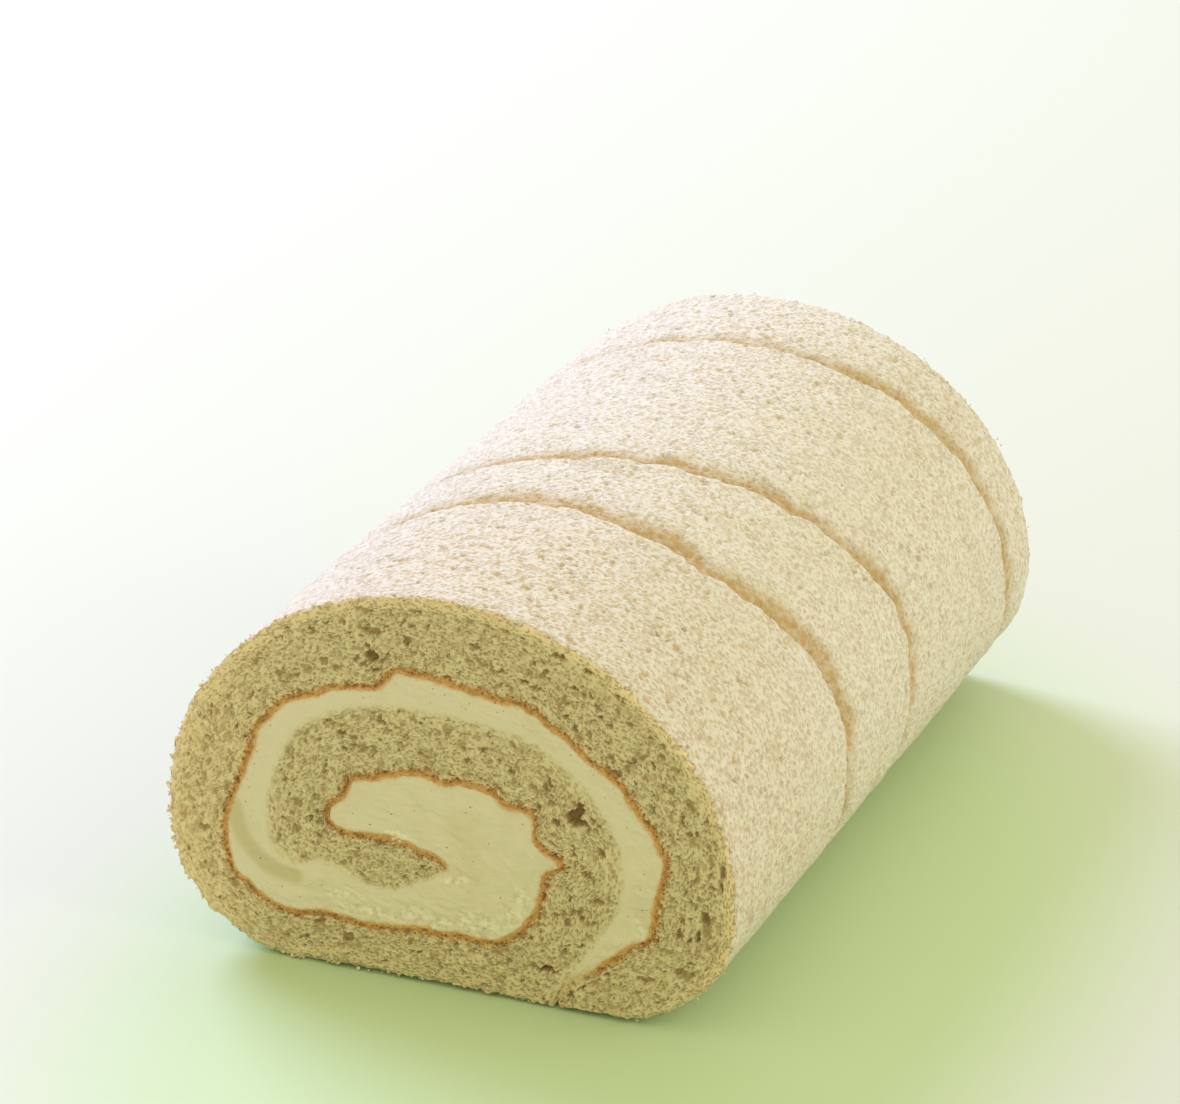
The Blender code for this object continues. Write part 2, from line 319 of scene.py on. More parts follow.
crumb = {
    "grain": 0.09,  # mm of unevenness left by the knife
    # bubbles by size: how many, half their length in mm, and how deep for their length
    "bubbles": [(15000, (0.2, 0.38), 0.75), (2300, (0.38, 0.8), 0.75), (120, (0.8, 1.3), 0.6)],
    "flatness": 0.6,
    # the large holes at the front cut: x, z, width, height, depth
    "frontHoles": [
        (22.2, 34.6, 2.9, 3.0, 2.6), (23.0, 36.3, 1.5, 2.6, 2.2), (23.6, 33.9, 2.2, 1.2, 1.8),
        (17.6, 7, 4.2, 1.1, 1.8), (15, 7.3, 1.6, 0.8, 0.8), (-12.5, 56.8, 2.8, 2, 1.8),
        (-15, 55.8, 1.6, 1, 1.0), (-13, 58.3, 1.2, 0.9, 1.0), (-12.5, 61, 3.6, 1.2, 1),
        (-6.3, 60.3, 1.9, 1.6, 1.1), (-14, 64.5, 3.6, 1.2, 0.7), (-23, 59.3, 1.6, 0.9, 0.8),
        (-27.3, 58.8, 1.4, 0.9, 0.8), (-17.5, 62, 1.6, 0.8, 0.7), (-18, 42.3, 1.9, 0.9, 0.9),
        (-5.5, 46.6, 1.6, 0.7, 0.7), (0.5, 45.7, 1.4, 0.7, 0.7), (7, 43.8, 1.5, 0.7, 0.7),
        (6.8, 58.4, 1.5, 0.8, 0.8), (19.5, 62.2, 2.6, 1.1, 1.0), (24.5, 60.5, 2.2, 1.1, 1.0),
        (15.5, 56, 1.8, 0.8, 0.8), (23.5, 56, 1.2, 0.8, 0.8), (20.8, 54.2, 1.2, 0.8, 0.9),
        (20.7, 52, 1.1, 0.9, 0.9), (22.3, 50, 1.1, 1.6, 1.0), (29.5, 57, 1.4, 0.8, 0.7),
        (33.5, 47, 1.3, 0.9, 0.8), (35, 50.7, 1.2, 0.9, 0.8), (18, 40, 0.9, 2.2, 1.0),
        (26, 20.6, 2.2, 1.2, 1.0), (19, 17, 1.8, 0.9, 0.8), (21.5, 17.3, 1.2, 0.7, 0.7),
        (27.3, 15.3, 1.2, 0.8, 0.7), (44.3, 21.3, 1.4, 2.8, 1.6), (43, 17.6, 1.2, 2.2, 1.4),
        (40, 17.8, 1, 2.1, 1.2), (47.3, 30, 0.9, 2.6, 1.0), (45.5, 27, 0.9, 1.3, 0.8),
        (41, 25.3, 0.9, 1.3, 0.8), (40, 11, 1.8, 1.4, 1.1), (42.3, 12.7, 1.3, 0.9, 0.8),
        (-43, 21, 1.8, 1.3, 1.0), (-38.9, 29, 0.9, 2.6, 0.9), (-42.5, 35.8, 1, 1.5, 0.8),
        (-25.7, 28.3, 0.9, 1.8, 0.8), (-26, 23.7, 0.9, 1.2, 0.7), (33, 6, 1.3, 0.7, 0.7),
        (6.5, 1.7, 2.6, 0.7, 0.8),
    ],
    "backHoles": 34,  # how many, at random
    "frontSeed": 10,
    "backSeed": 40,
}


def faceLevel(x, z, seed):  # the slow unevenness of a cut face, shared by sponge and cream
    return section["level"] + 0.08 * waves(x, z, 5.0, seed) + 0.04 * waves(x, z, 1.8, seed + 20)


# Bubbles as half length, half height and half depth, and the share of that depth at which the middle lies.
def drawBubbles(rng, sizes, flatness):
    parts = []
    for count, (least, most), deep in sizes:
        half = least + (most - least) * rng.random(count) ** 1.8
        high = half * flatness * rng.uniform(0.75, 1.3, count)
        parts.append(np.column_stack([half, high, half * deep, rng.uniform(-0.75, 0.75, count)]))
    return np.vstack(parts)


# The hollows left in a grid where bubbles are cut open. A bubble is u, v, angle and the four values above,
# and i and j are the row and the column that it lies nearest to.
def pressBubbles(u, v, i, j, bubbles, step):
    depth = np.zeros(u.shape)
    reaches = np.ceil(bubbles[:, 3] / step).astype(int) + 1
    for reach in np.unique(reaches):
        chosen = reaches == reach
        bu, bv, angle, half, high, deep, middle = (column[:, None, None] for column in bubbles[chosen].T)
        span = np.arange(-reach, reach + 1)
        rows, columns = i[chosen][:, None, None] + span[:, None], j[chosen][:, None, None] + span
        rows, columns = np.broadcast_arrays(rows, columns)
        inside = (rows >= 0) & (rows < u.shape[0]) & (columns >= 0) & (columns < u.shape[1])
        rows, columns = np.clip(rows, 0, u.shape[0] - 1), np.clip(columns, 0, u.shape[1] - 1)
        du, dv = u[rows, columns] - bu, v[rows, columns] - bv
        lengthwise = (du * np.cos(angle) + dv * np.sin(angle)) / half
        crosswise = (dv * np.cos(angle) - du * np.sin(angle)) / high
        dome = deep * np.sqrt(np.maximum(0, 1 - lengthwise**2 - crosswise**2))
        sunk = np.where(dome > np.abs(middle * deep), dome + middle * deep, 0)
        np.maximum.at(depth, (rows[inside], columns[inside]), sunk[inside])
    return depth


# The bubbles that a cut opens: the seven values that pressBubbles takes, then along and share.
def bubblesInCut(seed, holes):
    rng = np.random.default_rng(seed)
    grid = {key: values.ravel() for key, values in crumbGrid.items()}
    area = np.gradient(crumbLines["along"])[:, None] * np.gradient(crumbGrid["fromBrowned"], axis=1)
    chance = np.maximum(area, 0).ravel()
    shapes = drawBubbles(rng, crumb["bubbles"], crumb["flatness"])
    at = rng.choice(chance.size, len(shapes), p=chance / chance.sum())
    middle = (crumbLines["inner"] + crumbLines["outer"]) / 2
    slope = np.arctan2(np.gradient(middle[:, 1]), np.gradient(middle[:, 0]))
    angle = slope[at // sheet["rows"]] + rng.normal(0, 0.25, len(at))
    share = grid["share"][at] * rng.uniform(0.98, 1.02, len(at))  # some lie between the grid's own rows
    bubbles = [np.column_stack([grid["x"][at], grid["z"][at], angle, shapes, grid["along"][at], share])]
    for x, z, wide, high, deep in holes:
        near = np.argmin(np.hypot(grid["x"] - x, grid["z"] - z))
        shape = (wide / 2, high / 2, deep * 0.65, 0.5)
        bubbles.append([[x, z, 0, *shape, grid["along"][near], grid["share"][near]]])
    return np.vstack(bubbles)


# How far a cut face lies behind the knife's plane, and how deep its pores are.
def knifeFace(grid, lines, bubbles, seed):
    x, z = grid["x"], grid["z"]
    warpX = x + 0.30 * waves(x, z, 0.9, seed + 1) + 0.22 * waves(x, z, 0.4, seed + 2)
    warpZ = z + 0.30 * waves(x, z, 0.9, seed + 3) + 0.22 * waves(x, z, 0.4, seed + 4)
    i = np.interp(bubbles[:, 7], lines["along"], np.arange(len(lines["along"]))).round().astype(int)
    low, high = grid["share"][i, 0], grid["share"][i, -1]
    j = ((bubbles[:, 8] - low) / np.maximum(high - low, 1e-4) * (x.shape[1] - 1)).round()
    near = np.abs(j) < 400  # the others lie too far from this grid to reach it
    pores = pressBubbles(warpX, warpZ, i[near], j[near].astype(int), bubbles[near, :7], sheet["poreStep"])
    clean = ease(0.3, 2.2, grid["fromPale"] + 0.5 * waves(x, z, 2.0, seed + 5))
    clean = 1 - (1 - grid["outerTurn"]) * (1 - clean)  # cream is smeared on the first turn's pale face
    pores *= ease(0, 0.7, grid["fromBrowned"]) * clean
    grain = waves(x, z, 0.6, seed + 6) * 0.6 + waves(x, z, 0.3, seed + 7) * 0.5
    depth = faceLevel(x, z, seed) + crumb["grain"] * grain * (0.15 + 0.85 * clean) + pores
    edge = ease(0.9, 0, grid["fromPale"]) * grid["outerTurn"]
    depth += edge * (0.35 + 0.35 * waves(x, z, 1.1, seed + 8) + 0.35 * waves(x, z, 0.5, seed + 9))
    return np.maximum(depth, 0.02), pores


def cutFace(seed, holes, plane, inward):
    bubbles = bubblesInCut(seed, holes)
    cut = {"seed": seed, "plane": plane, "inward": inward}
    for key, grid, lines in (("crumb", crumbGrid, crumbLines), ("rim", rimGrid, rimLines)):
        depth, pores = knifeFace(grid, lines, bubbles, seed)
        fromEnd = grid["along"] - crumbLines["along"][-1] + 14
        ownPattern = 20 - 20 * inward + 0 * depth  # keeps the two cuts from showing the same grain
        cut[key] = {
            "place": np.dstack([grid["x"], plane + inward * depth, grid["z"]]),
            "sheetPlace": np.dstack([grid["along"], grid["fromBrowned"], ownPattern]),
            "fromPale": grid["fromPale"],
            "outerTurn": grid["outerTurn"],
            "pore": pores,
            "brown": 1 - 0.75 * ease(0, 6, fromEnd),  # less browned towards the seam
        }
    cut["edgeDepth"] = depth[:, -1:]  # the rim's last column lies at the skin
    return cut


rng = np.random.default_rng(5)
backHoles = []
for spot in rng.integers(0, len(crumbLines["along"]), crumb["backHoles"]):
    across = crumbLines["outer"][spot] - crumbLines["inner"][spot]
    at = crumbLines["inner"][spot] + rng.uniform(0.2, 0.8) * across
    wide, high = rng.uniform(1.1, 2.8), rng.uniform(0.8, 1.6)
    backHoles.append((at[0], at[1], wide, high, 0.5 * wide))
frontCut = cutFace(crumb["frontSeed"], crumb["frontHoles"], rollLow[1], 1)
backCut = cutFace(crumb["backSeed"], backHoles, rollHigh[1], -1)
print("cut faces worked out")

crumbPieces = []
joints = np.linspace(0, len(crumbLines["along"]) - 1, sheet["parts"] + 1).astype(int)
for n, (start, stop) in enumerate(zip(joints, joints[1:]), 1):
    span = slice(start, stop + 1)
    ring = {}
    for key, values in frontCut["crumb"].items():
        ring[key] = np.hstack([values[span], backCut["crumb"][key][span, ::-1]])
    crumbPieces.append(ringBody("crumb%d" % n, ring.pop("place"), ring))
    sharpEdges(crumbPieces[-1], sheet["sharpFrom"])
print("crumb made,", [len(piece.data.polygons) for piece in crumbPieces], "faces")

# The skin: thin shells that meet at the creases, at one of the dents and at a plain joint.
skin = {
    "step": 0.31,
    "poreStep": 0.27,
    "sink": 0.45,  # how far its smooth course lies inside the outline
    "grain": 0.06,
    "bubbles": [(60000, (0.17, 0.32), 0.7), (15000, (0.32, 0.6), 0.75), (700, (0.6, 1.0), 0.5)],
    "flatness": 0.8,
    "creaseReach": 90.0,  # mm round the roll to each side of the crown
    "creaseFade": 12.0,
    # distance from the front cut at even places round the roll, from left to right, then depth and width
    "creases": [
        ([43.0, 41.0, 41.5, 44.0, 44.3, 53.0, 50.0], 2.1, 8.5),
        ([62.0, 60.0, 62.0, 66.5, 76.0, 86.5, 80.0], 1.4, 6.5),
        ([124.0, 122.0, 123.0, 125.5, 131.0, 136.0, 139.0], 1.5, 6.5),
    ],
    # faint hollows, the second of which is also a joint: the same, with their half width
    "dents": [
        ([70.0, 66.0, 64.0, 62.0, 58.0, 66.0, 72.0], 0.35, 2.0),
        ([12.0, 16.0, 20.0, 13.0, 11.0, 8.0, 8.0], 0.4, 2.5),
        ([112.0, 112.0, 113.0, 116.0, 121.0, 123.0, 124.0], 0.4, 2.2),
    ],
    "middleJoint": 103.0,  # mm from the front cut, where the longest stretch is parted
}
skinEnds = rimLines["outer"]
outward = leftOfLine(skinEnds)
roundRoll = runAlong(skinEnds)
fromCrown = roundRoll - roundRoll[np.argmax(skinEnds[:, 1])]  # mm round the roll, to the right of the crown
reach, fade = skin["creaseReach"], skin["creaseFade"]
creaseFade = ease(reach + fade, reach - fade, np.abs(fromCrown))
creaseFade *= 0.65 + 0.35 * ease(-45, -5, fromCrown)


def roundTheRoll(path, seed):  # a line round the roll, as its distance from the front cut at each column
    reach = skin["creaseReach"]
    line = smoothLine(list(zip(np.linspace(-reach, reach, len(path)), path)), 1.0)
    wobble = 0.7 * waves(fromCrown, 0, 4.0, seed) + 0.4 * waves(fromCrown, 0, 1.3, seed + 10)
    return np.interp(fromCrown, line[:, 0], line[:, 1]) + wobble


def allRound(lines, seed):
    return [(roundTheRoll(path, seed + n), depth, wide) for n, (path, depth, wide) in enumerate(lines)]


creases = allRound(skin["creases"], 60)
dents = allRound(skin["dents"], 65)


def creaseShape(behind, wide):  # steep at the front, under a low lip, with a long slope behind
    lip = 0.15 * np.exp(-(((behind + 2.2) / 1.4) ** 2))
    return np.where(behind < 0, ease(-2.0, 0.2, behind) - lip, 1 - ease(-0.35 * wide, wide, behind))


# How far the skin lies below its outline, and how deep its pits and its folds are.
def skinRelief(y, bubbles):
    s = fromCrown[:, None] + 0 * y
    fold = np.zeros(y.shape)
    for path, depth, wide in creases:
        uneven = 0.85 + 0.5 * waves(s, y, 6.0, 81)
        fold += depth * creaseShape(y - path[:, None], wide) * creaseFade[:, None] * uneven
    for path, depth, wide in dents:
        away = (y - path[:, None]) / wide
        fold += depth * np.exp(-(away**2)) * creaseFade[:, None] * (0.6 + 0.6 * waves(s, y, 8.0, 80))
    warpS = s + 0.28 * waves(s, y, 0.8, 82) + 0.18 * waves(s, y, 0.4, 83)
    warpY = y + 0.28 * waves(s, y, 0.8, 84) + 0.18 * waves(s, y, 0.4, 85)
    i = np.interp(bubbles[:, 0], fromCrown, np.arange(len(fromCrown))).round().astype(int)
    j = ((bubbles[:, 1] - y[i, 0]) / (y[i, -1] - y[i, 0]) * (y.shape[1] - 1)).round().astype(int)
    pores = pressBubbles(warpS, warpY, i, j, bubbles, skin["poreStep"])
    grain = waves(s, y, 0.7, 86) * 0.6 + waves(s, y, 0.38, 87) * 0.5
    swell = 0.7 * (0.25 * waves(s, y, 14.0, 88) + 0.12 * waves(s, y, 5.0, 89))
    hollows = pores * (0.75 + 0.25 * waves(s, y, 9.0, 90))
    return skin["sink"] + fold + hollows + skin["grain"] * grain + swell, pores, fold


rng = np.random.default_rng(100)
shapes = drawBubbles(rng, skin["bubbles"], skin["flatness"])
many = len(shapes)
bubblePlaces = [rng.uniform(fromCrown[0], fromCrown[-1], many), rng.uniform(0, rollLength, many)]
skinBubbles = np.column_stack([*bubblePlaces, rng.normal(0, 0.6, many), shapes])


def rimBlock(cut, edge, edgePlace):  # the cut face's outermost band, bent to meet the skin's edge
    rim = cut["rim"]
    bend = np.linspace(0, 1, sheet["rimRows"])[None, :, None]
    place = rim["place"] + (edge - rim["place"][:, -1])[:, None] * bend
    block = {key: rim[key][:, :-1] for key in ("pore", "sheetPlace", "fromPale")}
    flat = 0 * block["pore"]
    block["place"] = place[:, :-1]
    block["skinPlace"] = np.dstack([fromCrown[:, None] + flat, edgePlace + flat, block["fromPale"]])
    block["cut"] = 1 + flat
    block["fold"] = flat
    return block


def plainBlock(y):  # the hidden row under the skin's edge at a joint
    flat = 0 * y[:, None]
    return {
        "place": np.dstack([rimGrid["x"][:, :1], rollLow[1] + y[:, None], rimGrid["z"][:, :1]]),
        "sheetPlace": np.dstack([rimLines["along"][:, None], rimLines["thickness"][:, None], flat]),
        "skinPlace": np.dstack([fromCrown[:, None], y[:, None], flat]),
        "pore": flat,
        "fromPale": flat,
        "cut": flat,
        "fold": flat,
    }


def skinPiece(n, start, stop):  # one shell of skin, between two lines round the roll
    wide = stop - start
    y = start[:, None] + wide[:, None] * np.linspace(0, 1, int(np.ceil(wide.mean() / skin["step"])))
    relief, pores, fold = skinRelief(y, skinBubbles)
    flat = 0 * y
    s = fromCrown[:, None] + flat
    ragged = 0.5 + 0.6 * waves(s, y, 1.2, 91) + 0.5 * waves(s, y, 0.55, 92)
    tuck = np.zeros(y.shape)
    isCut = np.zeros(y.shape)
    place = y.copy()
    for cut, away in ((frontCut, y), (backCut, rollLength - y)):
        tuck += 0.45 * ease(1.3, 0, away) * np.maximum(0, ragged)
        place += cut["inward"] * cut["edgeDepth"] * ease(1.2, 0, away)
        isCut[away < 0.01] = 1
    sunk = np.minimum(np.maximum(relief + tuck, 0.02), rimLines["skinDepth"][:, None] * 0.88)
    outer = skinEnds[:, None] - outward[:, None] * sunk[..., None]
    outer = np.dstack([outer[..., 0], rollLow[1] + place, outer[..., 1]])
    along, thick = rimLines["along"][:, None] + flat, rimLines["thickness"][:, None] + flat
    skinBlock = {
        "place": outer,
        "sheetPlace": np.dstack([along, thick, flat]),
        "skinPlace": np.dstack([s, y, flat]),
        "pore": pores,
        "fromPale": flat,
        "cut": isCut,
        "fold": fold,
    }
    blocks = [skinBlock]
    if stop[0] == rollLength:
        block = rimBlock(backCut, outer[:, -1], rollLength)
        blocks.append({key: value[:, ::-1] for key, value in block.items()})
    else:
        blocks.append(plainBlock(stop))
    blocks.append(rimBlock(frontCut, outer[:, 0], 0) if start[0] == 0 else plainBlock(start))
    rings = {key: np.concatenate([block[key] for block in blocks], axis=1) for key in blocks[0]}
    for key in ("outerTurn", "brown"):
        rings[key] = np.ones(rings["cut"].shape)
    piece = ringBody("skin%d" % n, rings.pop("place"), rings)
    sharpEdges(piece, sheet["sharpFrom"])
    return piece


front = np.zeros(len(skinEnds))
middleJoint, back = front + skin["middleJoint"], front + rollLength
edges = [front, dents[1][0], creases[0][0], creases[1][0], middleJoint, creases[2][0], back]
skinPieces = [skinPiece(n, start, stop) for n, (start, stop) in enumerate(zip(edges, edges[1:]), 1)]
print("skin made,", [len(piece.data.polygons) for piece in skinPieces], "faces")

# The cream: a ribbon from the crook to the seam, between the browned face and what lies inside it.
cream = {
    "step": 0.32,
    "rows": 56,
    "tuck": 0.25,  # how far its edges run on inside the sponge
    "crook": (-20.4, 27),  # where the browned face turns back round the tongue
    "outerEnd": (19.7, 2.4),
    "innerEnd": (19.4, 2.5),
    "sharpFrom": 60,  # degrees
    "smears": 0.12,  # mm of the knife's smears
    # a darker streak and the raised ridge beside it, in the cream at the left
    "stain": [(-37.3, 26), (-36.6, 22), (-34.2, 18.6), (-31, 16), (-27, 15.2)],
    "ridge": [(-37, 28), (-34.4, 24), (-33, 20.5), (-30, 17.6), (-26, 16.2)],
    # where the knife tore the cream: x, z, half width, half height
    "tears": [
        (-14, 11.4, 6, 1.2), (-4, 12.0, 7, 1.7), (6, 12.8, 6, 2.2), (11.6, 15.2, 3, 2.6),
        (-8.3, 25.9, 3, 1.1), (1.6, 19.6, 2.4, 1.4), (-19, 13.6, 3, 1.0), (13.4, 19.0, 2.0, 2.4),
        (33.2, 17.4, 1.0, 1.6),
    ],
}


def nearest(line, place):  # which of a line's points lies nearest to a place
    return np.argmin(np.hypot(*(line - place).T))


crook = nearest(browned, cream["crook"])
creamOuter = browned[crook:]
creamInner = np.vstack([browned[: crook - 1][::-1], firstTurn])
creamOuter = creamOuter[: nearest(creamOuter, cream["outerEnd"]) + 1]
creamInner = creamInner[: nearest(creamInner, cream["innerEnd"]) + 1]
outerEnds, innerEnds = columnsAcross(*matchRails(creamOuter, creamInner), cream["step"])
creamWidth = np.hypot(*(innerEnds - outerEnds).T)[:, None]
creamShare = np.linspace(0, 1, cream["rows"])[None] + 0 * creamWidth
creamShare = np.hstack([-cream["tuck"] / creamWidth, creamShare, 1 + cream["tuck"] / creamWidth])
tucked = np.zeros(cream["rows"] + 2)
tucked[[0, -1]] = cream["tuck"]
creamPlace = outerEnds[:, None] + creamShare[..., None] * (innerEnds - outerEnds)[:, None]
cx, cz = creamPlace[..., 0], creamPlace[..., 1]


def fromLine(x, z, line):
    return np.min(np.hypot(x[..., None] - line[:, 0], z[..., None] - line[:, 1]), axis=-1)


stain = ease(2.4, 0.6, fromLine(cx, cz, smoothLine(cream["stain"], 0.5)))
stain = np.maximum(stain, ease(10.5, 6.5, cz) * ease(14, 18, cx))  # and where it thins out to the seam
ridge = ease(1.0, 0, fromLine(cx, cz, smoothLine(cream["ridge"], 0.5)))
fromBrown, fromSponge = fromLine(cx, cz, browned), fromLine(cx, cz, firstTurn)
torn = np.zeros(cx.shape)
for x, z, wide, high in cream["tears"]:
    away = np.hypot((cx - x) / wide, (cz - z) / high) + 0.3 * waves(cx, cz, 1.2, 260)
    torn = np.maximum(torn, ease(1.25, 0.5, away))


# How far the cream lies behind the knife's plane. Shown is 1 at the front, where it is roughest.
def creamRelief(seed, shown):
    leanX, leanZ = cx * 0.35 + cz, cz * 0.35 - cx
    border = ease(0, 1.2, np.minimum(fromBrown, fromSponge))
    smears = waves(leanX, leanZ * 0.4, 1.0, seed + 200) + 0.7 * waves(leanX, leanZ * 0.45, 0.5, seed + 201)
    relief = faceLevel(cx, cz, seed) + cream["smears"] * smears * border
    relief += 0.04 * waves(cx, cz, 0.6, seed + 202) * border
    rough = np.abs(waves(cx, cz, 1.1, seed + 203)) + 0.8 * waves(cx, cz, 0.6, seed + 204)
    relief += 0.22 * torn * rough * (0.4 + 0.6 * shown) - 0.14 * ridge * shown
    return np.maximum(relief, 0.02) + tucked


creamFaces = []
for cut, shown in ((frontCut, 1.0), (backCut, 0.0)):
    cut["cream"] = creamRelief(cut["seed"], shown)
    place = np.dstack([cx, cut["plane"] + cut["inward"] * cut["cream"], cz])
    creamFaces.append({"place": place, "stain": stain * shown, "torn": torn, "fromBrown": fromBrown})
ring = {key: np.hstack([values, creamFaces[1][key][:, ::-1]]) for key, values in creamFaces[0].items()}
creamPiece = ringBody("cream_filling", ring.pop("place"), ring)
sharpEdges(creamPiece, cream["sharpFrom"])
print("cream made,", len(creamPiece.data.polygons), "faces")

# Vanilla seeds in the cream, the clearest ones where they are seen at the front cut.
specks = {
    "seen": [
        (-13.3, 27), (-9.5, 29.5), (3.5, 32.2), (4.3, 33.3), (13.3, 32), (-33, 17.3), (-29.2, 12.8),
        (-26, 11.6), (33.7, 20.8), (8.8, 52.3), (0, 25.5), (-35.4, 27), (-30.5, 41.5), (-14, 49.2),
        (21.6, 45.6), (7.5, 27.5), (-22, 14.5), (9.4, 18.2),
    ],
    "others": 170,  # how many more are tried, at both cuts
    "radius": (0.05, 0.12),
    "shape": (1.3, 0.8, 0.9, 1),
}
rng = np.random.default_rng(21)
seeds = bmesh.new()
spots = [(x, z, 1, specks["radius"][1]) for x, z in specks["seen"]]
for n in rng.integers(0, cx.size, specks["others"]):
    if min(fromBrown.flat[n], fromSponge.flat[n]) > 0.6:
        spots.append((cx.flat[n], cz.flat[n], int(rng.choice([1, -1])), rng.uniform(*specks["radius"])))
for x, z, inward, radius in spots:
    cut = frontCut if inward > 0 else backCut
    level = cut["cream"].flat[np.argmin(np.hypot(cx - x, cz - z))]
    y = cut["plane"] + inward * max(level + 0.2 * radius, radius + 0.01)
    turn = Matrix.Rotation(rng.uniform(0, 3), 4, "Y") @ Matrix.Diagonal(specks["shape"])
    place = Matrix.Translation(Vector((x, y, z)) * mm) @ turn
    bmesh.ops.create_icosphere(seeds, subdivisions=1, radius=radius * mm, matrix=place)
seedPiece = addPiece("vanillaSpecks", seeds)
print("specks made,", len(spots))

# Loose crumbs along the edges of both cuts and on the cream.
loose = {
    "count": 420,
    "radius": (0.14, 0.42),
    "roundFrom": 0.3,  # mm of radius from which a lump has more faces
    "atFront": 0.8,  # the front cut's share of them
    "backSize": 0.6,
    "onCream": [  # x, z, radius
        (-8.6, 25.5, 0.5), (-8.1, 25.0, 0.4), (-9.2, 25.2, 0.35), (-7.6, 25.4, 0.3), (1.5, 20.7, 0.35),
        (-14.5, 10.9, 0.4), (-12.2, 10.7, 0.45), (-6.3, 10.9, 0.35), (-3.2, 11.3, 0.5),
        (-0.5, 11.2, 0.35), (3.4, 11.4, 0.5), (5.2, 11.5, 0.4), (8.3, 11.7, 0.55), (9.4, 12.2, 0.4),
        (12.3, 14.5, 0.35),
    ],
}
crumbs = bmesh.new()
spots = [(x, rollLow[1] + 0.15 + radius * 0.6, z, radius) for x, z, radius in loose["onCream"]]
chance = 0.7 + 2.2 * ease(20, -60, fromCrown) + 0.6 * waves(fromCrown, 0, 5.0, 300)
chance *= 0.2 + 0.8 * ease(2, 12, skinEnds[:, 1])
least, most = loose["radius"]
for n in rng.choice(len(skinEnds), loose["count"], p=chance / chance.sum()):
    radius = least + (most - least) * rng.random() ** 2
    cut = frontCut if rng.random() < loose["atFront"] else backCut
    if cut is backCut:
        radius *= loose["backSize"]
    x, z = skinEnds[n] - outward[n] * rng.uniform(radius * 0.7, 1.4)
    spots.append((x, cut["plane"] + cut["inward"] * rng.uniform(radius * 0.9 + 0.1, 1.1), z, radius))
for x, y, z, radius in spots:
    rounds = 2 if radius > loose["roundFrom"] else 1
    lump = bmesh.ops.create_icosphere(crumbs, subdivisions=rounds, radius=radius)["verts"]
    for vert in lump:
        vert.co *= rng.uniform(0.75, 1.05)
    reach = np.abs([vert.co for vert in lump]).max(axis=0) + 0.01
    place = Vector(np.clip((x, y, z), rollLow + reach, rollHigh - reach))
    for vert in lump:
        vert.co = (vert.co + place) * mm
crumbsPiece = addPiece("looseCrumbs", crumbs, smooth=True)
print("loose crumbs made,", len(spots))


# Small helpers for the materials.
def newMaterial(name, roughness, specular=0.5):
    material = bpy.data.materials.new(name)
    material.use_nodes = True
    shader = material.node_tree.nodes["Principled BSDF"]
    shader.inputs["Roughness"].default_value = roughness
    shader.inputs["Specular IOR Level"].default_value = specular
    return material, material.node_tree, shader


def addNode(tree, kind, **settings):
    node = tree.nodes.new(kind)
    for key, value in settings.items():
        if key in node.inputs:
            node.inputs[key].default_value = value
        else:
            setattr(node, key, value)
    return node


def setOrLink(tree, socket, value):
    if isinstance(value, bpy.types.NodeSocket):
        tree.links.new(value, socket)
    else:
        socket.default_value = value


def calc(tree, operation, *values):
    node = addNode(tree, "ShaderNodeMath", operation=operation)
    for socket, value in zip(node.inputs, values):
        setOrLink(tree, socket, value)
    return node.outputs[0]


def times(tree, first, second):
    return calc(tree, "MULTIPLY", first, second)


def larger(tree, first, second):
    return calc(tree, "MAXIMUM", first, second)


def whatIsLeft(tree, value):  # 1 minus the value
    return calc(tree, "SUBTRACT", 1.0, value)


def between(tree, value, low, high, toLow=0.0, toHigh=1.0):  # a soft step
    node = addNode(tree, "ShaderNodeMapRange", interpolation_type="SMOOTHSTEP")
    keys = ("Value", "From Min", "From Max", "To Min", "To Max")
    for key, setting in zip(keys, (value, low, high, toLow, toHigh)):
        setOrLink(tree, node.inputs[key], setting)
    return node.outputs["Result"]


def mixColours(tree, factor, first, second):
    node = addNode(tree, "ShaderNodeMix", data_type="RGBA")
    sockets = {socket.identifier: socket for socket in node.inputs}
    for key, value in (("Factor_Float", factor), ("A_Color", first), ("B_Color", second)):
        setOrLink(tree, sockets[key], value)
    return {socket.identifier: socket for socket in node.outputs}["Result_Color"]


def attribute(tree, name, output="Fac"):
    return addNode(tree, "ShaderNodeAttribute", attribute_name=name).outputs[output]


def objectPlace(tree):
    return addNode(tree, "ShaderNodeTexCoord").outputs["Object"]


def axesOf(tree, place):
    node = addNode(tree, "ShaderNodeSeparateXYZ")
    tree.links.new(place, node.inputs[0])
    return node.outputs


def noise(tree, place, scale, detail, roughness=0.5):
    node = addNode(tree, "ShaderNodeTexNoise", Scale=scale, Detail=detail, Roughness=roughness)
    tree.links.new(place, node.inputs["Vector"])
    return node.outputs


def dress(tree, shader, colour, relief, height):  # colour and bump, with the bump's height in mm
    bump = addNode(tree, "ShaderNodeBump", Strength=1.0, Distance=height * mm)
    tree.links.new(relief, bump.inputs["Height"])
    tree.links.new(bump.outputs["Normal"], shader.inputs["Normal"])
    tree.links.new(colour, shader.inputs["Base Color"])


